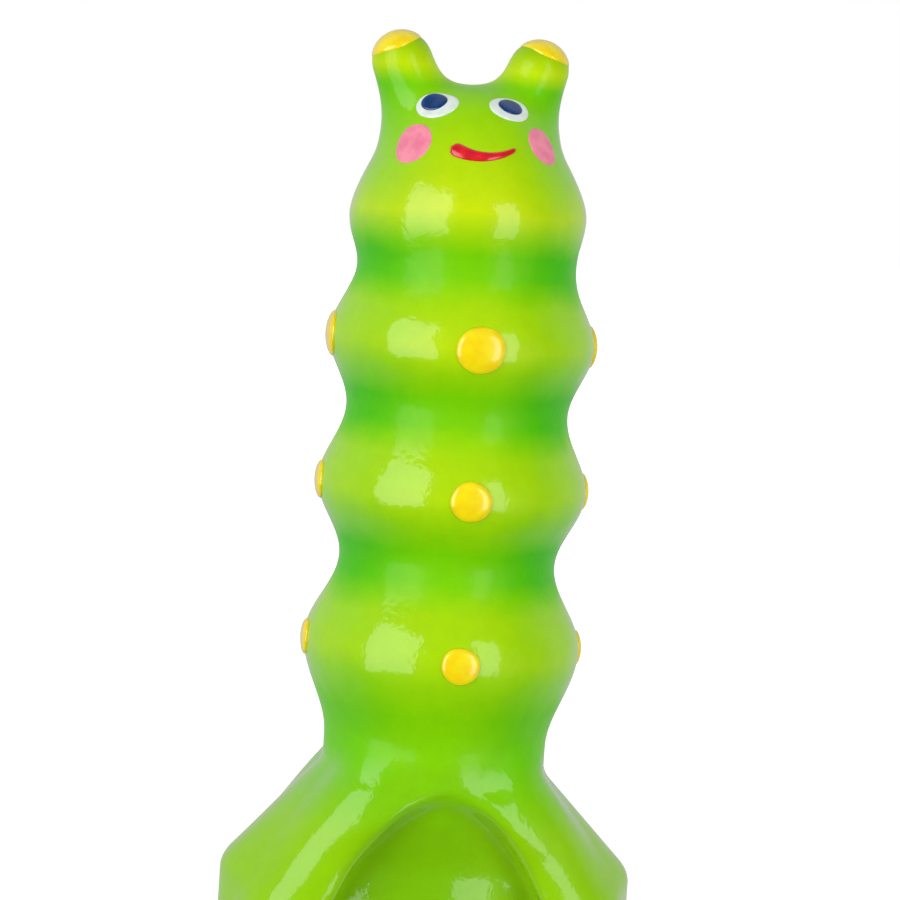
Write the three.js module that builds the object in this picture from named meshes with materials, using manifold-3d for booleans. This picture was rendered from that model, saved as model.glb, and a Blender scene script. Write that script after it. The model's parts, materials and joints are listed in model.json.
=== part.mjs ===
// A soft plastic worm figure, in millimetres: Z is up, the ground is Z = 0, the face looks along -Y.
// "left" and "right" are the worm's own sides, so left is +X.
//
// The skin is hollow. It is built as five sections that flex against each other at four waists, from the
// four-footed base up to the head. At each waist the lower section ends in a ball-shaped neck and the upper
// section in a rim that slides over it. Both are centred on the waist, so a bend never closes their gap.
// The eyes, cheeks, mouth, dots and antenna tips are thin pads and caps on that skin.

import * as THREE from "three";
import { mergeVertices } from "three/addons/utils/BufferGeometryUtils.js";
import Module from "manifold-3d";

const wasm = await Module();
wasm.setup();

// ---------------------------------------------------------------- driving dimensions

const WALL = 2.8; // thickness of the skin
const GAP = 0.3; // clearance between any two pieces
const SIDES = 32; // facets around the body

const BASE_HEIGHT = 29.5; // ground to the lowest waist
const WAIST_RADII = [15.65, 15.15, 15.5, 15.25]; // lowest waist first
const RINGS = [
  { name: "lower_ring", height: 25.7, crestAt: 14.0, crestRadius: 19.45, dotRadius: 2.7 },
  { name: "middle_ring", height: 21.1, crestAt: 10.5, crestRadius: 18.8, dotRadius: 2.95 },
  { name: "upper_ring", height: 20.0, crestAt: 9.8, crestRadius: 18.65, dotRadius: 3.5 },
];

const HEAD_HEIGHT = 25.2; // top waist to the crown
const HEAD_CREST_AT = 7.1;
const HEAD_CREST_RADIUS = 16.45;
const HEAD_TAPER = 0.37; // share of the radius lost between the jowls and the crown
const HEAD_TILT = 2.5; // degrees, towards the worm's right

const NECK_RISE = 8.5; // height of a ball neck above its waist
const RIM_LIFT = 4; // height of the upper section's rim above the waist
const NECK_BLEND = 2; // how far below a waist the skin starts to follow the neck's ball

// The skirt is a rounded square. Its four corners are the feet.
const FOOT = { reach: 31.8, from: 26.4, to: 10.2 }; // axis to corner, and the heights it flares out between
const SIDE = { reach: 29.2, from: 25.8, to: 11.6 }; // the same for the middle of a side
const CORNER_SHARPNESS = 2.4; // 1 gives broad, round corners
const FLARE_ROUNDING = 1.4; // half the height over which a flare starts or stops
const DEPTH_TO_WIDTH = 0.58; // of the skirt at the ground: it is flatter from front to back than across
const HOLLOW_FRONT = { height: 25, halfWidth: 18.6 }; // the arched hollow between the two front feet
const BELLY = { top: 14.2, bottom: 18.6, from: 11.5 }; // radii of the belly behind it, and where it draws in
const UNDER_ARCH = { height: 7.8, halfWidth: 16.5 }; // the openings under the belly and under the back

const ANTENNA_RADIUS = 4.1;
const ANTENNA_LEAN = 17.5; // degrees outwards from upright
const ANTENNA_REACH = 8.15; // head's axis to the antenna's root
const ANTENNA_ROOT_DROP = 2; // crown to the antenna's root
const ANTENNA_LENGTHS = { left: 4.4, right: 5.3 }; // root to the centre of the round tip
const ANTENNA_BALL_RADIUS = 4.6;
const ANTENNA_CAP_AT = 1.9; // centre of the round tip to the cap's lower face

const PAD_THICKNESS = 0.6;
const PAD_CUT_DEPTH = 6; // of the prism that a pad is cut out with
const EYE_RADIUS = 3.05;
const PUPIL_RADIUS = 1.85;
const PUPIL_RISE = 0.75; // how far a pupil sits above its eye's centre
const CHEEK_RADIUS = 3.1;
// Where each pad of the face sits: degrees round from the front, positive to the left, and its share of the
// head's height above the top waist.
const EYES = { right: { turn: -37, up: 0.873 }, left: { turn: 29, up: 0.861 } };
const CHEEKS = { right: { turn: -46, up: 0.671 }, left: { turn: 44.5, up: 0.659 } };
const MOUTH = { turn: 3, up: 0.631, width: 8.6, drop: 1.6, thick: 2.1, thin: 0.7 };

const SKIN = { color: 0x86cc00, roughness: 0.2, metalness: 0 };
const YELLOW = { color: 0xffdc00, roughness: 0.25, metalness: 0 };
const WHITE = { color: 0xeef6ee, roughness: 0.25, metalness: 0 };
const BLUE = { color: 0x0b4a94, roughness: 0.25, metalness: 0 };
const PINK = { color: 0xf48aa6, roughness: 0.25, metalness: 0 };
const RED = { color: 0xe3202f, roughness: 0.25, metalness: 0 };

// ---------------------------------------------------------------- worked out from the dimensions

const waists = WAIST_RADII.map((radius, i) => ({
  z: BASE_HEIGHT + RINGS.slice(0, i).reduce((sum, ring) => sum + ring.height, 0),
  radius,
}));
const topWaist = waists[waists.length - 1];
const crownZ = topWaist.z + HEAD_HEIGHT;
const degrees = THREE.MathUtils.degToRad;

// 0 at a, 1 at b, level at both ends.
function ease(z, a, b) {
  const t = Math.min(Math.max((z - a) / (b - a), 0), 1);
  return (1 - Math.cos(Math.PI * t)) / 2;
}

// The skin's outer radius over a ring, from its lower waist to its upper one.
function ringRadius(i, z) {
  const [low, high] = [waists[i], waists[i + 1]];
  const crestZ = low.z + RINGS[i].crestAt;
  const crest = RINGS[i].crestRadius;
  return z < crestZ
    ? low.radius + (crest - low.radius) * ease(z, low.z, crestZ)
    : crest - (crest - high.radius) * ease(z, crestZ, high.z);
}

// The skin's outer radius over the head: out to the jowls, then a tapering dome.
function headRadius(z) {
  const crestZ = topWaist.z + HEAD_CREST_AT;
  if (z < crestZ) {
    return topWaist.radius + (HEAD_CREST_RADIUS - topWaist.radius) * ease(z, topWaist.z, crestZ);
  }
  const t = Math.min((z - crestZ) / (crownZ - crestZ), 1);
  return HEAD_CREST_RADIUS * (1 - HEAD_TAPER * ease(t ** 0.85, 0, 1)) * Math.sqrt(1 - t ** 6);
}

// Radius of a sphere of the given radius centred on the axis at centreZ, or 0 above and below it.
const ballAt = (radius, centreZ, z) => Math.sqrt(Math.max(radius ** 2 - (z - centreZ) ** 2, 0));

// Heights from a to b, both included, about step apart.
function steps(a, b, step) {
  const count = Math.max(1, Math.round(Math.abs(b - a) / step));
  return Array.from({ length: count + 1 }, (_, i) => a + ((b - a) * i) / count);
}

// ---------------------------------------------------------------- solids

// A closed geometry as a manifold-3d solid.
function toSolid(geometry) {
  const bare = geometry.clone();
  bare.deleteAttribute("normal");
  bare.deleteAttribute("uv");
  const merged = mergeVertices(bare, 1e-4);
  return new wasm.Manifold(
    new wasm.Mesh({
      numProp: 3,
      vertProperties: merged.attributes.position.array,
      triVerts: new Uint32Array(merged.index.array),
    }),
  );
}

// A manifold-3d solid as a geometry.
function toGeometry(solid) {
  const { vertProperties, triVerts } = solid.simplify(0.004).getMesh();
  const geometry = new THREE.BufferGeometry();
  geometry.setAttribute("position", new THREE.BufferAttribute(new Float32Array(vertProperties), 3));
  geometry.setIndex(new THREE.BufferAttribute(new Uint32Array(triVerts), 1));
  geometry.computeVertexNormals();
  return geometry;
}

// Turns a profile of [radius, height] points about Z. The profile runs up the outside and down the inside.
function turned(profile, sides = SIDES) {
  const points = profile.map(([r, z]) => new THREE.Vector2(r, z));
  const closed = points[0].x > 0 ? [...points, points[0].clone()] : points;
  return new THREE.LatheGeometry(closed, sides).rotateX(Math.PI / 2);
}

// The profile up over a ball neck, from its waist to its open top, and back down inside it to the waist.
function neckProfile(waist) {
  const inside = waist.radius - WALL;
  const up = steps(waist.z, waist.z + NECK_RISE, 2.8).map((z) => [ballAt(waist.radius, waist.z, z), z]);
  const down = steps(waist.z + NECK_RISE, waist.z, 4).map((z) => [ballAt(inside, waist.z, z), z]);
  return [...up, ...down];
}

// The hollow inside a section that slides over the ball neck below it.
const hollowRadius = (outer, below, z) =>
  Math.max(outer(z) - WALL, ballAt(below.radius + GAP, below.z, z));

function ringShell(i) {
  const [low, high] = [waists[i], waists[i + 1]];
  const outer = (z) => ringRadius(i, z);
  const rimZ = low.z + RIM_LIFT;
  const lastZ = high.z - NECK_BLEND;
  const out = steps(rimZ, lastZ, 2.3).map((z) => [outer(z), z]);
  const back = steps(lastZ, rimZ, 3.5).map((z) => [hollowRadius(outer, low, z), z]);
  return turned([...out, ...neckProfile(high), ...back]);
}

// The head's skin, without its antenna sockets.
function headShell() {
  const rimZ = topWaist.z + RIM_LIFT;
  const innerCrownZ = crownZ - WALL;
  const rounding = (z) => Math.sqrt(1 - ease(z, rimZ, innerCrownZ) ** 8);
  const inner = (z) => Math.max(hollowRadius(headRadius, topWaist, z) * rounding(z), 0);
  const out = [...steps(rimZ, crownZ - 3, 2), crownZ - 1.8, crownZ - 0.9, crownZ - 0.3, crownZ];
  const back = [...steps(rimZ, innerCrownZ - 3, 2.4), innerCrownZ - 1.4, innerCrownZ - 0.4, innerCrownZ];
  return turned([
    ...back.reverse().map((z) => [z === innerCrownZ ? 0 : inner(z), z]),
    ...out.map((z) => [z === crownZ ? 0 : headRadius(z), z]),
  ]);
}

// ---------------------------------------------------------------- base

// 0 above a flare and 1 below it, with a straight slope between and rounded ends.
function flared(z, { from, to }) {
  const area = (h) => {
    if (h >= from) return 0;
    return h > to ? (from - h) ** 2 / (2 * (from - to)) : (from - to) / 2 + (to - h);
  };
  return (area(z - FLARE_ROUNDING) - area(z + FLARE_ROUNDING)) / (2 * FLARE_ROUNDING);
}

// The skirt's outer radius at height z, at an angle in radians round from the middle of any side.
function skirtRadius(z, around) {
  const corner = FOOT.reach - waists[0].radius;
  const side = SIDE.reach - waists[0].radius;
  const cornerness = ((1 - Math.cos(4 * around)) / 2) ** CORNER_SHARPNESS;
  return waists[0].radius + side * flared(z, SIDE) * (1 - cornerness) + corner * flared(z, FOOT) * cornerness;
}

// How much the skirt is narrowed from front to back at height z.
function depthScale(z) {
  return 1 - (1 - DEPTH_TO_WIDTH) * ease(z, SIDE.from, SIDE.to);
}

// A solid between two heights, from its radius at a height and an angle. It is as much narrowed as the skirt.
function narrowed(radiusAt, bottomZ, topZ) {
  const around = 40;
  const levels = steps(bottomZ, topZ, 2.9);
  const position = levels.flatMap((z) =>
    Array.from({ length: around }, (_, k) => {
      const turn = (2 * Math.PI * k) / around;
      const r = radiusAt(z, turn);
      return [r * Math.cos(turn), r * Math.sin(turn) * depthScale(z), z];
    }).flat(),
  );
  position.push(0, 0, bottomZ, 0, 0, topZ);
  const top = (levels.length - 1) * around;
  const centre = levels.length * around;
  const index = [];
  for (let k = 0; k < around; k++) {
    const next = (k + 1) % around;
    for (let row = 0; row < top; row += around) {
      index.push(row + k, row + next, row + next + around, row + k, row + next + around, row + k + around);
    }
    index.push(next, k, centre, top + k, top + next, centre + 1);
  }
  const geometry = new THREE.BufferGeometry();
  geometry.setAttribute("position", new THREE.Float32BufferAttribute(position, 3));
  geometry.setIndex(index);
  return toSolid(geometry);
}

// The space inside the skirt's outer surface, or inside a surface inset from it.
function skirt(inset, bottomZ, topZ) {
  return narrowed((z, turn) => skirtRadius(z, turn) - inset, bottomZ, topZ);
}

// A prism with an arch's outline, from the axis out past the skirt. It faces the front, or the back.
function arch({ height, halfWidth }, margin = 0, facing = 1) {
  const side = steps(0, 1, 1 / 7).map((t) => [
    (halfWidth + margin) * (1 - t ** 1.14) ** 0.6,
    (height + margin) * t,
  ]);
  const outline = new THREE.Shape();
  outline.moveTo(-halfWidth - margin, -2);
  outline.lineTo(halfWidth + margin, -2);
  side.forEach(([x, z]) => outline.lineTo(x, z));
  side.slice(0, -1).reverse().forEach(([x, z]) => outline.lineTo(-x, z));
  const prism = new THREE.ExtrudeGeometry(outline, { depth: FOOT.reach, bevelEnabled: false });
  return toSolid(prism.rotateX(Math.PI / 2).rotateZ(facing > 0 ? 0 : Math.PI));
}

// The rounded belly at the back of the front hollow, or a surface inset from it.
function belly(inset) {
  const drawnIn = (z) => ease(z, BELLY.from, HOLLOW_FRONT.height);
  const radius = (z) => BELLY.bottom + (BELLY.top - BELLY.bottom) * drawnIn(z);
  return narrowed((z) => radius(z) - inset, -3, BASE_HEIGHT - 1);
}

function baseShell() {
  const waist = waists[0];
  const inside = waist.radius - WALL;
  const outer = skirt(0, 0, waist.z).subtract(arch(HOLLOW_FRONT).subtract(belly(0)));
  const hollow = skirt(WALL, -1, waist.z + 1).subtract(arch(HOLLOW_FRONT, WALL).subtract(belly(WALL)));
  const neck = toSolid(turned([[waist.radius, waist.z - 1], ...neckProfile(waist), [inside, waist.z - 1]]));
  const skin = outer.subtract(hollow).add(neck);
  return toGeometry(skin.subtract(arch(UNDER_ARCH)).subtract(arch(UNDER_ARCH, 0, -1)));
}

// ---------------------------------------------------------------- pads

// The part of a prism that lies in a thin layer over the skin. The prism's outline is in mm, X to the
// worm's left and Y up, and it stands on the skin at the given height and turn from the front.
function padOnSkin(outline, outer, [lowZ, highZ], { turn, height }, lift = GAP) {
  const layer = (offset) => {
    const zs = steps(lowZ, highZ, 1.3);
    return toSolid(turned([[0, lowZ], ...zs.map((z) => [outer(z) + offset, z]), [0, highZ]], 40));
  };
  const around = degrees(turn);
  const r = outer(height);
  const slope = (outer(height + 0.2) - outer(height - 0.2)) / 0.4;
  const normal = new THREE.Vector3(Math.sin(around), -Math.cos(around), -slope).normalize();
  const across = new THREE.Vector3(Math.cos(around), Math.sin(around), 0);
  const up = new THREE.Vector3().crossVectors(normal, across);
  const place = new THREE.Matrix4().makeBasis(across, up, normal);
  place.setPosition(r * Math.sin(around), -r * Math.cos(around), height);
  const settings = { depth: PAD_CUT_DEPTH, bevelEnabled: false, curveSegments: 9 };
  const prism = new THREE.ExtrudeGeometry(outline, settings);
  prism.translate(0, 0, -PAD_CUT_DEPTH / 2).applyMatrix4(place);
  const over = layer(lift + PAD_THICKNESS);
  const under = layer(lift);
  return toSolid(prism).intersect(over).subtract(under);
}

function disc(radius, rise = 0) {
  const shape = new THREE.Shape();
  shape.absarc(0, rise, radius, 0, 2 * Math.PI, false);
  return shape;
}

// A smile painted in one stroke: a fat round end on the right, a thin one on the left.
function smile({ width, drop, thick, thin }) {
  const count = 9;
  const centre = (t) => [width * (t - 0.5), drop * (4 * (t - 0.5) ** 2 - 0.6 + 0.2 * t)];
  const half = (t) => (thick + (thin - thick) * t) / 2;
  const shape = new THREE.Shape();
  const [x0, y0] = centre(0);
  shape.absarc(x0, y0, half(0), Math.PI / 2, 1.5 * Math.PI, false);
  const shares = steps(1 / count, 1, 1 / count);
  const edge = (t, side) => shape.lineTo(centre(t)[0], centre(t)[1] + side * half(t));
  shares.forEach((t) => edge(t, -1));
  shares.reverse().forEach((t) => edge(t, 1));
  return shape;
}

// ---------------------------------------------------------------- antennae

const antennaSides = { left: 1, right: -1 };

function antennaRoot(side) {
  return new THREE.Vector3(antennaSides[side] * ANTENNA_REACH, 0, crownZ - ANTENNA_ROOT_DROP);
}

// An antenna standing on the origin along Z: its ball root, its stalk and the flat that the cap sits on.
function antennaStalk(side) {
  const tipZ = ANTENNA_LENGTHS[side];
  const flatZ = tipZ + ANTENNA_CAP_AT;
  const shoulderZ = Math.sqrt(ANTENNA_BALL_RADIUS ** 2 - ANTENNA_RADIUS ** 2);
  const ball = steps(-ANTENNA_BALL_RADIUS, shoulderZ, 1.1).map((z) => [ballAt(ANTENNA_BALL_RADIUS, 0, z), z]);
  const tip = steps(tipZ, flatZ, 1).map((z) => [ballAt(ANTENNA_RADIUS, tipZ, z), z]);
  return turned([[0, -ANTENNA_BALL_RADIUS], ...ball.slice(1), ...tip, [0, flatZ]], 20);
}

function antennaCap(side) {
  const tipZ = ANTENNA_LENGTHS[side];
  const flatZ = tipZ + ANTENNA_CAP_AT + GAP;
  const topZ = tipZ + ANTENNA_RADIUS;
  const dome = steps(flatZ, topZ, 0.5).map((z) => [ballAt(ANTENNA_RADIUS, tipZ, z), z]);
  return turned([[0, flatZ], ...dome.slice(0, -1), [0, topZ]], 20);
}

// A solid on the upright head, less a round socket for each antenna's ball root.
function lessSockets(solid) {
  const socket = (side) => {
    const { x, y, z } = antennaRoot(side);
    const r = ANTENNA_BALL_RADIUS + GAP;
    const ball = steps(-r, r, 1.1).map((h) => [ballAt(r, 0, h), h]);
    return toSolid(turned([[0, -r], ...ball.slice(1, -1), [0, r]], 20).translate(x, y, z));
  };
  return toGeometry(solid.subtract(socket("left")).subtract(socket("right")));
}

// ---------------------------------------------------------------- assembly

function named(name, geometry, material) {
  const mesh = new THREE.Mesh(geometry, new THREE.MeshStandardMaterial(material));
  mesh.name = name;
  return mesh;
}

const worm = new THREE.Group();
worm.add(named("base_shell", baseShell(), SKIN));

const dotTurns = { front: 0, left: 90, back: 180, right: 270 };
RINGS.forEach((ring, i) => {
  worm.add(named(`${ring.name}_shell`, ringShell(i), SKIN));
  const outer = (z) => ringRadius(i, z);
  const height = waists[i].z + ring.crestAt;
  const span = [height - 4.6, height + 4.6];
  for (const [side, turn] of Object.entries(dotTurns)) {
    const pad = padOnSkin(disc(ring.dotRadius), outer, span, { turn, height });
    worm.add(named(`${ring.name}_dot_${side}`, toGeometry(pad), YELLOW));
  }
});

// The head and all on it are built upright, then tilted about the top waist.
const head = new THREE.Group();
head.position.set(0, 0, topWaist.z);
head.rotation.y = -degrees(HEAD_TILT);
const upright = new THREE.Group();
upright.position.set(0, 0, -topWaist.z);
head.add(upright);
worm.add(head);

const faceSpan = [topWaist.z + HEAD_CREST_AT, crownZ];
const onHead = (place) => ({ turn: place.turn, height: topWaist.z + place.up * HEAD_HEIGHT });
const addToHead = (name, solid, material) => upright.add(named(name, lessSockets(solid), material));
addToHead("head_shell", toSolid(headShell()), SKIN);
for (const side of ["left", "right"]) {
  const eye = onHead(EYES[side]);
  const pupilLift = 2 * GAP + PAD_THICKNESS;
  const pupil = disc(PUPIL_RADIUS, PUPIL_RISE);
  addToHead(`eye_white_${side}`, padOnSkin(disc(EYE_RADIUS), headRadius, faceSpan, eye), WHITE);
  addToHead(`pupil_${side}`, padOnSkin(pupil, headRadius, faceSpan, eye, pupilLift), BLUE);
  addToHead(`cheek_${side}`, padOnSkin(disc(CHEEK_RADIUS), headRadius, faceSpan, onHead(CHEEKS[side])), PINK);

  const antenna = new THREE.Group();
  antenna.position.copy(antennaRoot(side));
  antenna.rotation.y = antennaSides[side] * degrees(ANTENNA_LEAN);
  antenna.add(named(`antenna_${side}`, antennaStalk(side), SKIN));
  antenna.add(named(`antenna_cap_${side}`, antennaCap(side), YELLOW));
  upright.add(antenna);
}
addToHead("mouth", padOnSkin(smile(MOUTH), headRadius, faceSpan, onHead(MOUTH)), RED);

export default worm;
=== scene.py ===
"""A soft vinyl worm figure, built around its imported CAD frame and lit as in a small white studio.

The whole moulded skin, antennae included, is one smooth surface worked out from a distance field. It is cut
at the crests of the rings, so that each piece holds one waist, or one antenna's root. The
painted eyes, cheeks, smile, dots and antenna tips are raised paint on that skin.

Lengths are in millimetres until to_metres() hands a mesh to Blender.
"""

import json
import math

import bmesh
import bpy
import numpy as np
from mathutils import Matrix, Vector


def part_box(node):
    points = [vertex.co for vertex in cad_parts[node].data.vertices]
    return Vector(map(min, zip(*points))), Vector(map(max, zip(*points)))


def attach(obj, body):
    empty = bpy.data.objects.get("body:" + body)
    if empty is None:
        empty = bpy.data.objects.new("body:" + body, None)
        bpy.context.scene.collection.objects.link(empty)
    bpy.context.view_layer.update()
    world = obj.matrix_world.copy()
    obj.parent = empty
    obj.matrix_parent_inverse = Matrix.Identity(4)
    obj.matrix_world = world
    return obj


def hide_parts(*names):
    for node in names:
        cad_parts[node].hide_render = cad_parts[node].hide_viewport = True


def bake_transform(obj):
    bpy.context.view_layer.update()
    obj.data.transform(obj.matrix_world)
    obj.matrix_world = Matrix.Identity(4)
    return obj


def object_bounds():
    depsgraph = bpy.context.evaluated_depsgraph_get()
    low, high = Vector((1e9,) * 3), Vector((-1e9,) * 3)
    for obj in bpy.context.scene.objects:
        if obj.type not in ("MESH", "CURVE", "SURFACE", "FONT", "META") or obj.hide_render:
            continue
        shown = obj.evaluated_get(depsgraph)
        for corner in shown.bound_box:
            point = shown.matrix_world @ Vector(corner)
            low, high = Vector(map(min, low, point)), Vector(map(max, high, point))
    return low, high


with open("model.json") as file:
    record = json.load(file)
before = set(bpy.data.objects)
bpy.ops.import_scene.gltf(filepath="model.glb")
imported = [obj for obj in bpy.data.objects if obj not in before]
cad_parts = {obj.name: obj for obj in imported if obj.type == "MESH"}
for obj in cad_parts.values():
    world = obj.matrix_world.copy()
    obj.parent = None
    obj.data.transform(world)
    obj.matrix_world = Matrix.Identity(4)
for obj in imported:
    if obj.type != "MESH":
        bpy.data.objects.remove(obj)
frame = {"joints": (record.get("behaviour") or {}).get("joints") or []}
cad_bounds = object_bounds()

MM = 0.001

# ---------------------------------------------------------------- sizes the frame gives


def box_mm(node):
    low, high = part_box(node)
    return np.array(low) / MM, np.array(high) / MM


def middle(node):
    low, high = box_mm(node)
    return (low + high) / 2


JOINTS = {joint["name"]: joint for joint in frame["joints"]}
WAIST_JOINTS = ["bottom_waist", "lower_waist", "upper_waist", "neck_waist"]
WAIST_Z = [JOINTS[name]["pos_m"][2] / MM for name in WAIST_JOINTS]
RINGS = ["lower_ring", "middle_ring", "upper_ring"]
CREST_Z = [middle(f"{ring}_dot_left")[2] for ring in RINGS]
CREST_RADII = [box_mm(f"{ring}_shell")[1][0] for ring in RINGS]
ANTENNA_ROOTS = {side: np.array(JOINTS[f"antenna_{side}_bend"]["pos_m"]) / MM for side in ("left", "right")}

# ---------------------------------------------------------------- sizes of the skin

WALL = 2.8
WAIST_RADII = [15.65, 15.15, 15.5, 15.25]

HEAD_HEIGHT = 25.2
HEAD_CREST_AT = 7.1
HEAD_CREST_RADIUS = 16.45
HEAD_TAPER = 0.37
HEAD_TILT = math.radians(2.5)

FOOT = {"reach": 31.8, "from": 26.4, "to": 10.2}
SIDE = {"reach": 29.2, "from": 25.8, "to": 11.6}
FLARE_ROUNDING = 1.4
HOLLOW_FRONT = {"height": 25.0, "half_width": 18.6}
BELLY = {"top": 14.2, "bottom": 18.6, "from": 11.5}
DEPTH_TO_WIDTH = 0.58
UNDER_ARCH = {"height": 7.8, "half_width": 16.5}
ARCH_SPREAD = 0.6
ARCH_POWER = 1.14
CORNER_SHARPNESS = 2.4
LIP_ROUNDING = 2.4
LEG_RIDGE = {"top": (9.1, 9.1, 24.8), "bottom": (22.4, 11.0, 3.0), "radius": 4.5, "fillet": 4.0}
CAVITY_TOP = 34.0

ANTENNA_RADIUS = 4.1
ANTENNA_LEAN = math.radians(17.5)
ANTENNA_LENGTHS = {"left": 4.4, "right": 5.3}
ANTENNA_FILLET = 4.5

GRID = 0.7

# ---------------------------------------------------------------- the skin's distance field


def ease(z, a, b):
    """0 at a, 1 at b, level at both ends. a may be above b."""
    t = np.clip((z - a) / (b - a), 0, 1)
    return (1 - np.cos(np.pi * t)) / 2


def smooth_min(a, b, k):
    h = np.clip(k - np.abs(a - b), 0, None) / k
    return np.minimum(a, b) - h * h * k / 4


def smooth_max(a, b, k):
    return -smooth_min(-a, -b, k)


def flared(z, flare):
    """0 above a flare and 1 below it, with a straight slope between and rounded ends."""
    top, bottom = flare["from"], flare["to"]

    def area(h):
        slope = np.clip(top - h, 0, top - bottom) ** 2 / (2 * (top - bottom))
        return slope + np.clip(bottom - h, 0, None)

    return (area(z - FLARE_ROUNDING) - area(z + FLARE_ROUNDING)) / (2 * FLARE_ROUNDING)


def body_radius(z, cornerness):
    """The outer radius of the skirt and the rings, up to the head's widest place."""
    levels = [WAIST_Z[0]]
    radii = [WAIST_RADII[0]]
    for i in range(3):
        levels += [CREST_Z[i], WAIST_Z[i + 1]]
        radii += [CREST_RADII[i], WAIST_RADII[i + 1]]
    levels.append(WAIST_Z[3] + HEAD_CREST_AT)
    radii.append(HEAD_CREST_RADIUS)
    r = np.full_like(z, radii[0])
    for i in range(len(levels) - 1):
        r += (radii[i + 1] - radii[i]) * ease(z, levels[i], levels[i + 1])
    side = SIDE["reach"] - radii[0]
    corner = FOOT["reach"] - radii[0]
    return r + side * flared(z, SIDE) * (1 - cornerness) + corner * flared(z, FOOT) * cornerness


def depth_scale(z):
    """How much the skirt is narrowed from front to back."""
    return 1 - (1 - DEPTH_TO_WIDTH) * ease(z, SIDE["from"], SIDE["to"])


def in_head(p):
    """Points moved to where they'd be if the head stood straight up."""
    turn = HEAD_TILT * ease(p[:, 2], WAIST_Z[3] - 4, WAIST_Z[3] + 4)
    x, h = p[:, 0], p[:, 2] - WAIST_Z[3]
    across = x * np.cos(turn) + h * np.sin(turn)
    upward = h * np.cos(turn) - x * np.sin(turn) + WAIST_Z[3]
    return np.stack([across, p[:, 1], upward], 1)


def dome_distance(q):
    crest = WAIST_Z[3] + HEAD_CREST_AT
    height = HEAD_HEIGHT - HEAD_CREST_AT
    r = np.hypot(q[:, 0], q[:, 1])
    t = np.clip((q[:, 2] - crest) / height, 0, 1.6)

    def width(t):
        return HEAD_CREST_RADIUS * (1 - HEAD_TAPER * ease(t ** 0.85, 0, 1))

    w = width(t)
    dw = (width(t + 0.01) - w) / 0.01
    g = (r / w) ** 2 + t ** 6 - 1
    slope_r = 2 * r / w ** 2
    slope_z = (6 * t ** 5 - 2 * r ** 2 * dw / w ** 3) / height
    return g / np.maximum(np.hypot(slope_r, slope_z), 0.02)


def arch_distance(x, z, arch):
    """Distance to an arch's outline, as seen from the front. It is less than 0 inside the arch."""
    u = np.abs(x) / arch["half_width"]
    v = np.clip(z, 0, None) / arch["height"]
    g = u ** (1 / ARCH_SPREAD) + v ** ARCH_POWER - 1
    slope_x = u ** (1 / ARCH_SPREAD - 1) / ARCH_SPREAD / arch["half_width"]
    slope_z = ARCH_POWER * np.maximum(v, 0.05) ** (ARCH_POWER - 1) / arch["height"]
    return g / np.maximum(np.hypot(slope_x, slope_z), 0.02)


def antenna_axis(side):
    lean = ANTENNA_LEAN if side == "left" else -ANTENNA_LEAN
    lean -= HEAD_TILT
    return np.array([math.sin(lean), 0.0, math.cos(lean)])


def antenna_tip(side):
    return ANTENNA_ROOTS[side] + antenna_axis(side) * ANTENNA_LENGTHS[side]


def antenna_distance(p, side):
    start = ANTENNA_ROOTS[side] - antenna_axis(side) * 3
    along = antenna_tip(side) - start
    h = np.clip((p - start) @ along / (along @ along), 0, 1)
    return np.linalg.norm(p - start - h[:, None] * along, axis=1) - ANTENNA_RADIUS


def leg_ridge_distance(p):
    """Distance to the rounded ridge down each corner of the skirt."""
    q = np.stack([np.abs(p[:, 0]), np.abs(p[:, 1]), p[:, 2]], 1)
    start = np.array(LEG_RIDGE["top"])
    along = np.array(LEG_RIDGE["bottom"]) - start
    h = np.clip((q - start) @ along / (along @ along), 0, 1)
    return np.linalg.norm(q - start - h[:, None] * along, axis=1) - LEG_RIDGE["radius"]


def front_hollow(p):
    """Distance to the hollow between the two front feet, less than 0 inside it."""
    r = np.hypot(p[:, 0], p[:, 1] / depth_scale(p[:, 2]))
    drawn_in = ease(p[:, 2], BELLY["from"], HOLLOW_FRONT["height"])
    belly = BELLY["bottom"] + (BELLY["top"] - BELLY["bottom"]) * drawn_in
    arch = arch_distance(p[:, 0], p[:, 2], HOLLOW_FRONT)
    return smooth_max(smooth_max(arch, belly - r, 4.5), p[:, 1], 1.0)


def skin_distance(p):
    """Roughly the distance from the skin, in millimetres: less than 0 in the vinyl."""
    z = p[:, 2]
    q = in_head(p)
    depth = depth_scale(z)
    r = np.hypot(q[:, 0], q[:, 1] / depth)
    cornerness = ((1 - np.cos(4 * np.arctan2(p[:, 1] / depth, p[:, 0]))) / 2) ** CORNER_SHARPNESS
    crest = WAIST_Z[3] + HEAD_CREST_AT
    radius = body_radius(q[:, 2], cornerness)
    slope = (body_radius(q[:, 2] + 0.05, cornerness) - radius) / 0.05
    body = (r - radius) / np.sqrt(1 + slope ** 2)
    outside = np.where(q[:, 2] > crest, dome_distance(q), body)
    for side in ("left", "right"):
        outside = smooth_min(outside, antenna_distance(p, side), ANTENNA_FILLET)

    low = z < CREST_Z[0]
    outside[low] = smooth_min(outside[low], leg_ridge_distance(p[low]), LEG_RIDGE["fillet"])
    hollow = np.full_like(z, 9.0)
    hollow[low] = front_hollow(p[low])
    skin = smooth_max(outside, -hollow, LIP_ROUNDING)
    cavity = smooth_max(smooth_max(outside + WALL, WALL - hollow, 1.5), z - CAVITY_TOP, 4)
    skin = smooth_max(skin, -cavity, 0.8)
    under = arch_distance(p[:, 0], z, UNDER_ARCH)
    skin = np.where(low, smooth_max(skin, -under, 1.2), skin)
    return smooth_max(skin, -z, 0.8)


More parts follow.
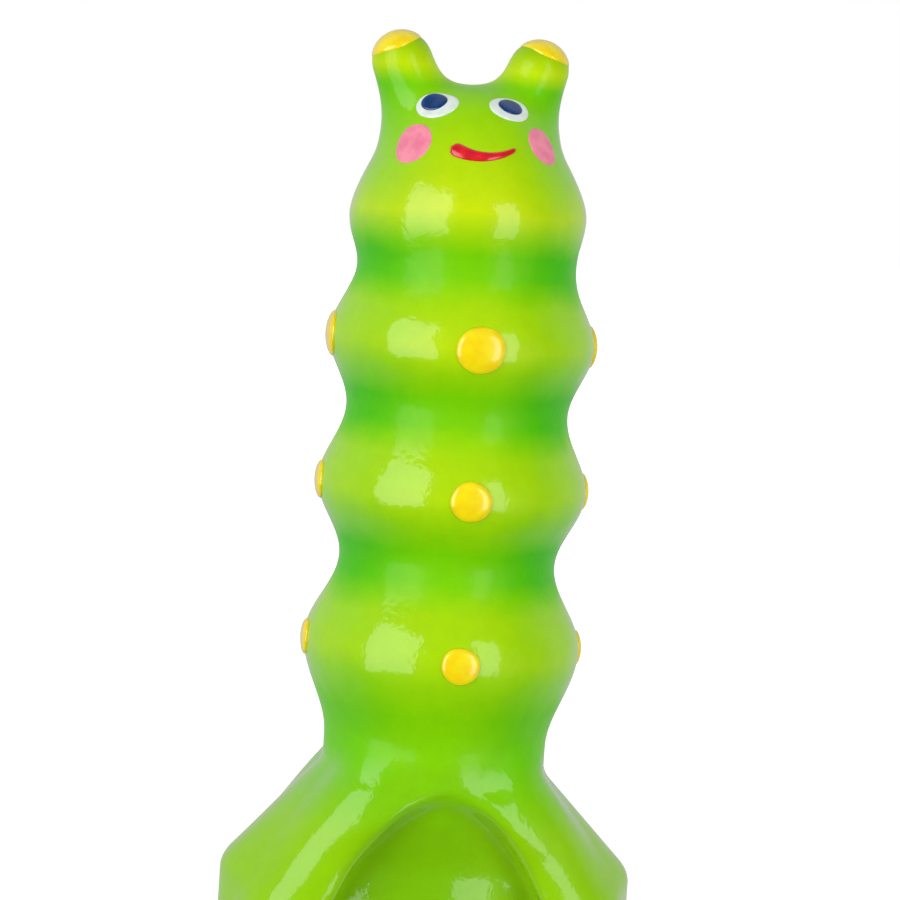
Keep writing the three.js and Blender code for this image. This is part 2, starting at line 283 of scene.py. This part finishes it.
def gradient(p, step=0.02):
    g = np.empty_like(p)
    for axis in range(3):
        offset = np.zeros(3)
        offset[axis] = step
        g[:, axis] = (skin_distance(p + offset) - skin_distance(p - offset)) / (2 * step)
    return g


def unit(v):
    return v / np.maximum(np.linalg.norm(v, axis=-1, keepdims=True), 1e-9)


def onto_skin(p, rounds=4):
    """Points moved onto the skin along its normals."""
    for _ in range(rounds):
        g = gradient(p)
        move = skin_distance(p)[:, None] * g / np.maximum((g * g).sum(1, keepdims=True), 0.2)
        p = p - np.clip(move, -1.0, 1.0)
    return p


# ---------------------------------------------------------------- meshes


def surface_nets(low, high, step):
    """The zero surface of the distance field as a mesh of quads, one vertex in each cell that it crosses."""
    axes = [np.arange(low[i], high[i] + step, step) for i in range(3)]
    shape = [len(a) for a in axes]
    grid = np.stack(np.meshgrid(*axes, indexing="ij"), -1).reshape(-1, 3)
    field = np.concatenate([skin_distance(part) for part in np.array_split(grid, 24)]).reshape(shape)
    inside = field < 0
    cells = [n - 1 for n in shape]
    total = np.zeros(cells)
    place = np.zeros(cells + [3])
    corner = [(i, j, k) for i in (0, 1) for j in (0, 1) for k in (0, 1)]

    def at(array, c):
        return array[c[0]:c[0] + cells[0], c[1]:c[1] + cells[1], c[2]:c[2] + cells[2]]

    for a in corner:
        for axis in range(3):
            if a[axis]:
                continue
            b = tuple(a[i] + (i == axis) for i in range(3))
            fa, fb = at(field, a), at(field, b)
            cross = (fa < 0) != (fb < 0)
            t = np.where(cross, fa / np.where(cross, fa - fb, 1), 0)
            total += cross
            for i in range(3):
                place[..., i] += np.where(cross, a[i] + (t if i == axis else 0), 0)
    used = total > 0
    number = np.full(cells, -1)
    number[used] = np.arange(used.sum())
    index = np.stack(np.nonzero(used), 1)
    points = (place[used] / total[used][:, None] + index) * step + np.array([a[0] for a in axes])

    quads = []
    for axis in range(3):
        u, v = [(1, 2), (2, 0), (0, 1)][axis]
        first = [slice(1, -1)] * 3
        first[axis] = slice(0, -1)
        second = list(first)
        second[axis] = slice(1, None)
        a, b = inside[tuple(first)], inside[tuple(second)]
        where = np.stack(np.nonzero(a != b), 1) + 1
        where[:, axis] -= 1
        outward = inside[tuple(where.T)]
        eu, ev = np.eye(3, dtype=int)[u], np.eye(3, dtype=int)[v]
        ring = [number[tuple((where - du * eu - dv * ev).T)] for du, dv in ((1, 1), (0, 1), (0, 0), (1, 0))]
        ring = np.stack(ring, 1)
        ring[~outward] = ring[~outward][:, ::-1]
        quads.append(ring)
    return points, np.concatenate(quads)


def to_metres(name, points, faces, normals=None):
    """A Blender mesh object from points in millimetres, smooth shaded."""
    mesh = bpy.data.meshes.new(name)
    mesh.from_pydata((np.asarray(points) * MM).tolist(), [], [list(f) for f in faces])
    mesh.polygons.foreach_set("use_smooth", np.ones(len(mesh.polygons), bool))
    rest = mesh.attributes.new("rest", "FLOAT_VECTOR", "POINT")
    rest.data.foreach_set("vector", np.asarray(points, np.float32).ravel())
    if normals is not None:
        mesh.normals_split_custom_set_from_vertices(np.asarray(normals).tolist())
    obj = bpy.data.objects.new(name, mesh)
    bpy.context.scene.collection.objects.link(obj)
    return obj


def cut(points, faces, planes):
    """The part of a mesh on the inner side of each plane, given as (point, outward normal)."""
    mesh = bpy.data.meshes.new("cut")
    mesh.from_pydata(points.tolist(), [], faces.tolist())
    bm = bmesh.new()
    bm.from_mesh(mesh)
    for point, normal in planes:
        everything = bm.verts[:] + bm.edges[:] + bm.faces[:]
        bmesh.ops.bisect_plane(bm, geom=everything, plane_co=point, plane_no=normal, clear_outer=True)
    bm.verts.ensure_lookup_table()
    bm.verts.index_update()
    new_points = np.array([v.co for v in bm.verts])
    new_faces = [[v.index for v in f.verts] for f in bm.faces]
    bm.free()
    bpy.data.meshes.remove(mesh)
    return new_points, new_faces


# ---------------------------------------------------------------- materials


class Nodes:
    """A short way to write a material's node tree."""

    def __init__(self, name):
        self.material = bpy.data.materials.new(name)
        self.material.use_nodes = True
        self.tree = self.material.node_tree
        self.shader = self.tree.nodes["Principled BSDF"]

    def add(self, kind, inputs=None, **settings):
        node = self.tree.nodes.new(kind)
        for key, value in settings.items():
            setattr(node, key, value)
        for key, value in (inputs or {}).items():
            self.set(node.inputs[key], value)
        return node

    def set(self, socket, value):
        if isinstance(value, bpy.types.NodeSocket):
            self.tree.links.new(value, socket)
        else:
            socket.default_value = value

    def math(self, operation, a, b=0.0):
        return self.add("ShaderNodeMath", {0: a, 1: b}, operation=operation).outputs[0]

    def mix(self, factor, a, b, blend="MIX"):
        node = self.add("ShaderNodeMix", data_type="RGBA", blend_type=blend)
        for socket, value in zip([node.inputs[0], node.inputs[6], node.inputs[7]], [factor, a, b]):
            self.set(socket, value)
        return node.outputs[2]

    def rest(self):
        return self.add("ShaderNodeAttribute", attribute_name="rest").outputs["Vector"]

    def noise(self, size, detail=2.0, roughness=0.5):
        """Noise whose lumps are about size millimetres across."""
        inputs = {"Vector": self.rest(), "Scale": 1 / size, "Detail": detail, "Roughness": roughness}
        return self.add("ShaderNodeTexNoise", inputs).outputs["Fac"]

    def ramp(self, factor, stops):
        node = self.add("ShaderNodeValToRGB", {"Fac": factor})
        elements = node.color_ramp.elements
        while len(elements) < len(stops):
            elements.new(0.5)
        for element, (position, colour) in zip(elements, stops):
            element.position = position
            element.color = (*colour, 1) if isinstance(colour, tuple) else (colour, colour, colour, 1)
        return node.outputs["Color"]

    def bump(self, height, distance, strength=1.0, normal=None):
        inputs = {"Height": height, "Distance": distance, "Strength": strength}
        if normal is not None:
            inputs["Normal"] = normal
        return self.add("ShaderNodeBump", inputs).outputs["Normal"]

    def finish(self, **values):
        for name, value in values.items():
            self.set(self.shader.inputs[name.replace("_", " ")], value)
        return self.material


def srgb(red, green, blue):
    """A display colour from 0 to 255 as the linear colour that a shader takes."""
    def linear(c):
        c /= 255
        return c / 12.92 if c <= 0.04045 else ((c + 0.055) / 1.055) ** 2.4
    return (linear(red), linear(green), linear(blue))


def gloss_coat(nodes, orange_peel=0.045, waviness=0.15):
    """The slightly wavy, finely pitted surface of dipped or sprayed clear vinyl."""
    waves = nodes.noise(7.0, 1.0)
    peel = nodes.noise(0.9, 2.0)
    wavy = nodes.bump(waves, waviness * MM * 2)
    return nodes.bump(peel, orange_peel * MM, 1.0, wavy)


# The vinyl's display colours.
GREEN = (60, 186, 0)
LIME = (196, 222, 0)
BASE_GREEN = (121, 186, 0)
BASE_EDGE_GREEN = (140, 200, 0)
CROWN_GREEN = (140, 190, 0)

# How yellow the skin is, from 0 for GREEN to 1 for LIME: share of the way, at the front, at the sides.
BASE_RISING = [(0.0, 0.48, 0.32), (0.42, 0.47, 0.29), (0.77, 0.63, 0.52)]
RISING = [(0.28, 0.38, 0.03), (0.60, 0.62, 0.40)]
FALLING = [(0.48, 0.76, 0.66), (0.26, 0.58, 0.34), (0.10, 0.42, 0.08)]
CREST_YELLOW = {"lowest": 0.76, "step": 0.07, "side": 0.72}
FACE_YELLOW = [
    (0.32, 1.0, 0.86),
    (0.50, 0.88, 0.62),
    (0.70, 0.75, 0.44),
    (0.90, 0.58, 0.31),
    (0.98, 0.44, 0.28),
]
ANTENNA_YELLOW = (1.07, 0.94, 0.92)
ANTENNA_END = 1.22


def yellowed(yellow):
    return tuple(green + (lime - green) * yellow for green, lime in zip(GREEN, LIME))


def skin_bands():
    """The skin's colours up the body, as rows of height, colour at the front and colour at the sides."""
    bands = [(0.0, BASE_GREEN, BASE_EDGE_GREEN), (WAIST_Z[0] - 10, BASE_GREEN, BASE_EDGE_GREEN)]

    def add(z, front, side):
        bands.append((z, yellowed(front), yellowed(side)))

    for i, crest in enumerate(CREST_Z):
        below, above = WAIST_Z[i], WAIST_Z[i + 1]
        for share, front, side in BASE_RISING if i == 0 else RISING:
            add(below + (crest - below) * share, front, side)
        add(crest, CREST_YELLOW["lowest"] + CREST_YELLOW["step"] * i, CREST_YELLOW["side"])
        for share, front, side in FALLING:
            add(above + (crest - above) * share, front, side)
    for share, front, side in RISING:
        add(WAIST_Z[3] + HEAD_CREST_AT * share, front, side)
    for share, front, side in [*FACE_YELLOW, ANTENNA_YELLOW]:
        add(WAIST_Z[3] + HEAD_HEIGHT * share, front, side)
    bands.append((WAIST_Z[3] + HEAD_HEIGHT * ANTENNA_END, CROWN_GREEN, CROWN_GREEN))
    return bands


SKIN_TOP = 135.0


def skin_material():
    nodes = Nodes("skin_vinyl")
    place = nodes.add("ShaderNodeSeparateXYZ", {0: nodes.rest()})
    cloud = nodes.noise(9.0, 3.0, 0.6)
    drift = nodes.math("MULTIPLY", nodes.math("SUBTRACT", cloud, 0.5), 3.0)
    level = nodes.math("DIVIDE", nodes.math("ADD", place.outputs["Z"], drift), SKIN_TOP)
    bands = skin_bands()
    front = nodes.ramp(level, [(z / SKIN_TOP, srgb(*colour)) for z, colour, _ in bands])
    side = nodes.ramp(level, [(z / SKIN_TOP, srgb(*colour)) for z, _, colour in bands])
    off_centre = nodes.math("ABSOLUTE", nodes.math("ADD", place.outputs["X"], 2.0))
    sideways = nodes.add("ShaderNodeMapRange", {"Value": off_centre, "From Min": 3.0, "From Max": 13.5},
                         interpolation_type="SMOOTHSTEP")
    colour = nodes.mix(sideways.outputs[0], front, side)
    mottle = nodes.noise(2.2, 3.0, 0.6)
    shade = nodes.ramp(mottle, [(0.3, 0.95), (0.7, 1.0)])
    colour = nodes.mix(1.0, colour, shade, "MULTIPLY")
    groove = nodes.ramp(level, groove_stops())
    # The skin also glows faintly in its own colour: painted light that brightens its shaded parts, standing
    # in for light passing through the clear vinyl.
    return nodes.finish(
        Base_Color=colour, Roughness=0.4, Specular_IOR_Level=0.12, Coat_Weight=groove, Coat_Roughness=0.07,
        Coat_IOR=1.42, Normal=gloss_coat(nodes), Coat_Normal=gloss_coat(nodes),
        Emission_Color=colour, Emission_Strength=0.12,
    )


GROOVE_HALF = 4.0
WORN_COAT = 0.2
CROWN_COAT = 0.3


def groove_stops():
    """The clear coat's strength up the body: full on the rings, and worn in the grooves between them."""
    low, half, worn = WAIST_Z[0], GROOVE_HALF, WORN_COAT
    stops = [(low - 3, 1.0), (low, worn), (low + 7, worn), (low + 10, 1.0)]
    for z in WAIST_Z[1:]:
        stops += [(z - half - 2, 1.0), (z - half + 1, worn), (z + half - 1, worn), (z + half + 2, 1.0)]
    crown = WAIST_Z[3] + HEAD_HEIGHT
    stops += [(crown - 5, 1.0), (crown - 1, CROWN_COAT)]
    return [(z / SKIN_TOP, value) for z, value in stops]


def paint_material(name, light, dark, roughness=0.3, coat=1.0):
    nodes = Nodes(name)
    pooled = nodes.noise(1.6, 2.0)
    colour = nodes.mix(nodes.ramp(pooled, [(0.35, 0.0), (0.65, 1.0)]), (*dark, 1), (*light, 1))
    return nodes.finish(
        Base_Color=colour, Roughness=roughness, Specular_IOR_Level=0.4, Coat_Weight=coat, Coat_Roughness=0.08,
        Coat_IOR=1.5, Normal=gloss_coat(nodes, 0.02, 0.05),
    )


MATERIALS = {
    "skin": skin_material(),
    "yellow_paint": paint_material("yellow_paint", srgb(255, 236, 4), srgb(255, 220, 0)),
    "white_paint": paint_material("white_paint", srgb(240, 248, 242), srgb(222, 238, 228)),
    "blue_paint": paint_material("blue_paint", srgb(0, 62, 128), srgb(0, 48, 106)),
    "pink_paint": paint_material("pink_paint", srgb(255, 150, 172), srgb(244, 124, 156), 0.45, 0.5),
    "red_paint": paint_material("red_paint", srgb(236, 30, 44), srgb(214, 8, 34)),
}


def dress(obj, slot, nodes=()):
    """Gives a piece its material and its slot, and puts it in place of the CAD nodes that it stands for."""
    obj.data.materials.append(MATERIALS[slot])
    if nodes:
        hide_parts(*nodes)
    return obj


# ---------------------------------------------------------------- the skin


def build_skin():
    low = np.array(cad_bounds[0]) / MM - 3
    high = np.array(cad_bounds[1]) / MM + 3
    points, faces = surface_nets(low, high, GRID)
    points = onto_skin(points)
    head_crest = WAIST_Z[3] + HEAD_CREST_AT
    up = np.array([-math.sin(HEAD_TILT), 0, math.cos(HEAD_TILT)])
    across = np.array([math.cos(HEAD_TILT), 0, math.sin(HEAD_TILT)])
    pivot = np.array([0, 0, WAIST_Z[3]])
    head_plane = pivot + up * HEAD_CREST_AT
    seams = [((0, 0, z), (0, 0, 1.0)) for z in CREST_Z] + [(head_plane, up)]

    def piece(name, planes, nodes):
        part_points, part_faces = cut(points, faces, planes)
        normals = unit(gradient(part_points))
        return dress(to_metres(name, part_points, part_faces, normals), "skin", nodes)

    def flipped(seam):
        return seam[0], tuple(-np.array(seam[1]))

    shells = ["base_shell", *[f"{ring}_shell" for ring in RINGS], "head_shell"]
    for i, joint in enumerate(WAIST_JOINTS):
        planes = [seams[i]] + ([flipped(seams[i - 1])] if i else [])
        skin = piece(f"skin_{joint}", planes, [shells[i]])
        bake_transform(skin)

    for side, sign in (("left", 1.0), ("right", -1.0)):
        half = (pivot, tuple(-sign * across))
        nodes = [f"antenna_{side}"] + (["head_shell"] if side == "left" else [])
        skin = piece(f"skin_head_{side}", [flipped(seams[3]), half], nodes)
        root, axis = ANTENNA_ROOTS[side], antenna_axis(side)
        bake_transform(skin)


# ---------------------------------------------------------------- raised paint


PATCH_SIDES = 56
PATCH_RINGS = 10
PAINT_DEPTH = 0.35
DOT_RISE = 0.5


def tangent_frame(centre):
    """The place on the skin nearest a point, and its normal, right and up directions there."""
    place = onto_skin(np.array([centre], float), 12)
    normal = unit(gradient(place))[0]
    right = unit(np.cross([0, 0, 1.0], normal))
    return place[0], normal, right, np.cross(normal, right)


def paint_patch(name, centre, outline, rise, lift=0.0, turn=0.0):
    """A patch of raised paint on the skin: outline(angle) is its radius in mm, and rise its thickness."""
    place, normal, right, upward = tangent_frame(centre)
    sides, rings = PATCH_SIDES, PATCH_RINGS
    angles = np.linspace(0, 2 * np.pi, sides, endpoint=False)
    reach = np.array([outline(a - turn) for a in angles])
    points, heights = [place], [rise + lift]
    for ring in range(1, rings + 1):
        share = math.sin(ring / rings * math.pi / 2)
        edge = max(1 - share ** 6, 0) ** 0.5
        height = rise * edge
        direction = np.cos(angles)[:, None] * right + np.sin(angles)[:, None] * upward
        points += list(place + share * reach[:, None] * direction)
        heights += [height + lift if ring < rings else -0.02] * sides
    on_skin = onto_skin(np.array(points), 6)
    lifted = on_skin + unit(gradient(on_skin)) * np.array(heights)[:, None]
    buried = on_skin[-sides:] - unit(gradient(on_skin[-sides:])) * PAINT_DEPTH
    bottom = on_skin[0] - normal * PAINT_DEPTH
    points = np.vstack([lifted, buried, bottom])
    faces = [[0, 1 + k, 1 + (k + 1) % sides] for k in range(sides)]
    for ring in range(rings):
        for k in range(sides):
            a, b = 1 + ring * sides + k, 1 + ring * sides + (k + 1) % sides
            faces.append([a, a + sides, b + sides, b])
    last = 1 + rings * sides
    faces += [[last + sides, last + (k + 1) % sides, last + k] for k in range(sides)]
    return to_metres(name, points, faces)


def ellipse(a, b):
    return lambda angle: a * b / math.hypot(b * math.cos(angle), a * math.sin(angle))


def wobbly(outline, amount, seed):
    """A hand-painted edge: the outline with a few slow waves of its own."""
    waves = [(n, amount * (0.7 ** n), seed * 1.7 * n) for n in range(2, 6)]
    return lambda angle: outline(angle) * (1 + sum(a * math.sin(n * angle + s) for n, a, s in waves))


def build_dots():
    for ring in RINGS:
        for number, side in enumerate(("front", "left", "back", "right")):
            node = f"{ring}_dot_{side}"
            low, high = box_mm(node)
            radius = (high[2] - low[2]) / 2
            shape = wobbly(ellipse(radius, radius), 0.03, number + radius)
            dot = paint_patch(f"paint_{node}", middle(node), shape, DOT_RISE)
            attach(dress(dot, "yellow_paint", [node]), ring)


# Each patch of the face is an ellipse. It is brushed on a little off its CAD pad's centre, and turned.
FACE = {
    "eye_white_left": {"size": (3.05, 2.2), "shift": (-0.2, 0.42), "turn": -10, "slot": "white_paint"},
    "eye_white_right": {"size": (3.05, 2.25), "shift": (-0.33, 0.37), "turn": 14, "slot": "white_paint"},
    "pupil_left": {"size": (1.8, 1.4), "shift": (-0.05, -0.15), "turn": -10, "slot": "blue_paint"},
    "pupil_right": {"size": (1.85, 1.5), "shift": (-0.77, -0.1), "turn": 14, "slot": "blue_paint"},
    "cheek_left": {"size": (2.6, 2.85), "shift": (0.15, 0.35), "turn": 0, "slot": "pink_paint"},
    "cheek_right": {"size": (2.95, 3.0), "shift": (-0.25, 0.0), "turn": 0, "slot": "pink_paint"},
}
FACE_RISE = {"eye_white": (0.22, 0.0), "pupil": (0.2, 0.2), "cheek": (0.14, 0.0)}


def build_face():
    for seed, (node, patch) in enumerate(FACE.items()):
        _, _, right, upward = tangent_frame(middle(node))
        across, up = patch["shift"]
        centre = middle(node) + across * right + up * upward
        outline = wobbly(ellipse(*patch["size"]), 0.014, seed)
        rise, lift = FACE_RISE[node.rsplit("_", 1)[0]]
        turn = math.radians(patch["turn"])
        paint = paint_patch(f"paint_{node}", centre, outline, rise, lift=lift, turn=turn)
        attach(dress(paint, patch["slot"], [node]), "head")


# The smile's stroke. Its thickness runs from thick at the worm's right to thin at its left.
MOUTH = {"width": 9.3, "drop": 1.7, "tilt": 0.2, "raised": 0.35, "thick": 1.15, "thin": 0.3, "rise": 0.34}


def rounded_end(t, reach):
    """Nearly 0 at the end of a stroke and 1 beyond reach, round in between."""
    return math.sqrt(max(1 - (1 - min(t / reach, 1)) ** 2, 0.02))


def build_mouth():
    """A smile painted in one stroke, thick at its right end and thin at its left."""
    _, _, right, upward = tangent_frame(middle("mouth"))
    place = middle("mouth") + MOUTH["raised"] * upward
    width, drop, tilt = MOUTH["width"], MOUTH["drop"], MOUTH["tilt"]
    along, around = 34, 12
    points = []
    for i in range(along + 1):
        t = i / along
        x = -width / 2 + width * t
        y = drop * (4 * (t - 0.5) ** 2 - 0.6 + tilt * t)
        slope = math.atan2(drop * (8 * (t - 0.5) + tilt), width)
        half = MOUTH["thick"] * (1 - t) + MOUTH["thin"] * t
        half *= rounded_end(t, 0.1) * rounded_end(1 - t, 0.05)
        for k in range(around):
            a = 2 * math.pi * k / around
            side, rise = half * math.cos(a), MOUTH["rise"] * math.sin(a) * (0.4 + 0.6 * half)
            points.append((x - side * math.sin(slope), y + side * math.cos(slope), rise))
    points = np.array(points)
    flat = place + points[:, :1] * right + points[:, 1:2] * upward
    on_skin = onto_skin(flat, 6)
    lifted = on_skin + unit(gradient(on_skin)) * points[:, 2:]
    faces = []
    for i in range(along):
        for k in range(around):
            a, b = i * around + k, i * around + (k + 1) % around
            faces.append([a, a + around, b + around, b])
    faces.append([k for k in range(around)])
    faces.append([along * around + k for k in reversed(range(around))])
    mouth = to_metres("paint_mouth", lifted, faces)
    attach(dress(mouth, "red_paint", ["mouth"]), "head")


CAP = {"edge": math.radians(62), "slant": 0.08, "wave": 0.03, "rise": 0.16, "buried": 0.3}


def build_antenna_tips():
    for side in ("left", "right"):
        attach(dress(cap_patch(side), "yellow_paint", [f"antenna_cap_{side}"]), f"antenna_{side}")


def cap_patch(side):
    """Paint over an antenna's round tip, down to a slanting edge."""
    centre, axis = antenna_tip(side), antenna_axis(side)
    right = unit(np.cross([0, 1.0, 0], axis))
    forward = np.cross(axis, right)
    sides, rings = 48, 14
    slant = -CAP["slant"] if side == "right" else CAP["slant"]
    points, heights = [centre + axis * ANTENNA_RADIUS], [CAP["rise"]]
    for ring in range(1, rings + 1):
        share = ring / rings
        for k in range(sides):
            a = 2 * math.pi * k / sides
            edge = CAP["edge"] * (1 + slant * math.cos(a) + CAP["wave"] * math.sin(3 * a))
            polar = edge * share
            outward = math.cos(a) * right + math.sin(a) * forward
            direction = math.cos(polar) * axis + math.sin(polar) * outward
            points.append(centre + direction * ANTENNA_RADIUS)
            heights.append(CAP["rise"] * max(1 - share ** 10, 0) ** 0.5 - (0.02 if ring == rings else 0))
    on_skin = onto_skin(np.array(points), 5)
    normals = unit(gradient(on_skin))
    lifted = on_skin + normals * np.array(heights)[:, None]
    inner = on_skin - normals * CAP["buried"]
    count = len(points)
    faces = []
    for base, flip in ((0, False), (count, True)):
        made = [[base, base + 1 + k, base + 1 + (k + 1) % sides] for k in range(sides)]
        for ring in range(rings - 1):
            for k in range(sides):
                a, b = base + 1 + ring * sides + k, base + 1 + ring * sides + (k + 1) % sides
                made.append([a, a + sides, b + sides, b])
        faces += [f[::-1] for f in made] if flip else made
    last = 1 + (rings - 1) * sides
    for k in range(sides):
        a, b = last + k, last + (k + 1) % sides
        faces.append([a, a + count, b + count, b])
    return to_metres(f"paint_antenna_cap_{side}", np.vstack([lifted, inner]), faces)


# ---------------------------------------------------------------- studio

AZIMUTH = math.radians(-8.5)
ELEVATION = math.radians(6.0)
ROLL = math.radians(3.9)
DISTANCE = 0.406
LENS = 116.0
LIGHTS_AIM = 0.07
TARGET = (-0.00058, 0.070643)  # how far the view's centre is to the right of the axis, and above the floor


def away_from_body(azimuth, elevation):
    """The direction of a viewer or a light, by its angle round from the front, positive to the right."""
    level = math.cos(elevation)
    return Vector((math.sin(azimuth) * level, -math.cos(azimuth) * level, math.sin(elevation)))


def view_axes():
    """The picture's right and up, the way back to the camera, and the level direction to the right."""
    back = away_from_body(AZIMUTH, ELEVATION)
    right = Vector((math.cos(AZIMUTH), math.sin(AZIMUTH), 0))
    up = back.cross(right)
    turned_right = right * math.cos(ROLL) + up * math.sin(ROLL)
    turned_up = up * math.cos(ROLL) - right * math.sin(ROLL)
    return turned_right, turned_up, back, right


def build_camera():
    right, up, back, level = view_axes()
    data = bpy.data.cameras.new("camera")
    data.lens, data.sensor_width = LENS, 36.0
    data.clip_start, data.clip_end = 0.01, 20
    camera = bpy.data.objects.new("camera", data)
    bpy.context.scene.collection.objects.link(camera)
    target = Vector((0, 0, TARGET[1])) + level * TARGET[0]
    rotation = Matrix((right, up, back)).transposed().to_4x4()
    camera.matrix_world = Matrix.Translation(target + back * DISTANCE) @ rotation
    bpy.context.scene.camera = camera


def soft_box(name, azimuth, elevation, distance, width, height, radiance, shines=True):
    """A soft light that faces the body. One that doesn't shine leaves no highlight."""
    away = away_from_body(math.radians(azimuth), math.radians(elevation))
    data = bpy.data.lights.new(name, "AREA")
    data.shape, data.size, data.size_y = "RECTANGLE", width, height
    data.energy = radiance * width * height * 4
    light = bpy.data.objects.new(name, data)
    bpy.context.scene.collection.objects.link(light)
    light.location = away * distance + Vector((0, 0, LIGHTS_AIM))
    light.visible_glossy = shines
    light.rotation_euler = away.to_track_quat("Z", "Y").to_euler()


def build_world():
    """White to the camera. Around the body it is bright behind and dim in front, as in a light tent."""
    world = bpy.data.worlds.new("studio")
    bpy.context.scene.world = world
    world.use_nodes = True
    nodes, links = world.node_tree.nodes, world.node_tree.links
    nodes.clear()
    direction = nodes.new("ShaderNodeTexCoord").outputs["Generated"]
    split = nodes.new("ShaderNodeSeparateXYZ")
    links.new(direction, split.inputs[0])
    fade = nodes.new("ShaderNodeMapRange")
    fade.interpolation_type = "SMOOTHSTEP"
    fade.inputs["From Min"].default_value = -0.35
    fade.inputs["From Max"].default_value = 0.35
    fade.inputs["To Min"].default_value = 0.04
    fade.inputs["To Max"].default_value = 0.55
    links.new(split.outputs["Y"], fade.inputs["Value"])
    around = nodes.new("ShaderNodeBackground")
    around.inputs["Color"].default_value = (1, 1, 1, 1)
    links.new(fade.outputs[0], around.inputs["Strength"])
    seen = nodes.new("ShaderNodeBackground")
    seen.inputs["Color"].default_value = (1, 1, 1, 1)
    seen.inputs["Strength"].default_value = 1.0
    path = nodes.new("ShaderNodeLightPath")
    choose = nodes.new("ShaderNodeMixShader")
    links.new(path.outputs["Is Camera Ray"], choose.inputs[0])
    links.new(around.outputs[0], choose.inputs[1])
    links.new(seen.outputs[0], choose.inputs[2])
    out = nodes.new("ShaderNodeOutputWorld")
    links.new(choose.outputs[0], out.inputs["Surface"])


def build_floor():
    size = 3.0
    mesh = bpy.data.meshes.new("floor")
    corners = [(-size, -size, 0), (size, -size, 0), (size, size, 0), (-size, size, 0)]
    mesh.from_pydata(corners, [], [(0, 1, 2, 3)])
    rest = mesh.attributes.new("rest", "FLOAT_VECTOR", "POINT")
    rest.data.foreach_set("vector", np.array([v.co / MM for v in mesh.vertices], np.float32).ravel())
    floor = bpy.data.objects.new("floor", mesh)
    bpy.context.scene.collection.objects.link(floor)
    nodes = Nodes("floor_paper")
    away = nodes.add("ShaderNodeVectorMath", {0: nodes.rest()}, operation="LENGTH").outputs["Value"]
    fade = {"Value": away, "From Min": 100.0, "From Max": 700.0, "To Min": 0.62, "To Max": 0.98}
    glow = nodes.add("ShaderNodeMapRange", fade)
    mesh.materials.append(nodes.finish(
        Base_Color=(0.93, 0.93, 0.93, 1), Roughness=0.7, Specular_IOR_Level=0.2,
        Emission_Color=(1, 1, 1, 1), Emission_Strength=glow.outputs[0],
    ))
    for kind in ("visible_diffuse", "visible_glossy", "visible_shadow"):
        setattr(floor, kind, False)


def build_studio():
    bpy.context.scene.view_settings.view_transform = "Standard"
    build_world()
    build_floor()
    soft_box("softbox_left", -52, 7, 0.75, 0.60, 0.98, 2.35)
    soft_box("softbox_right", 30, 4, 0.85, 0.30, 0.90, 2.2)
    soft_box("fill_high", 5, 50, 0.8, 0.6, 0.5, 0.9, shines=False)
    soft_box("fill_right", 50, -10, 0.8, 0.6, 0.6, 1.6, shines=False)
    build_camera()


build_skin()
build_dots()
build_face()
build_mouth()
build_antenna_tips()
build_studio()
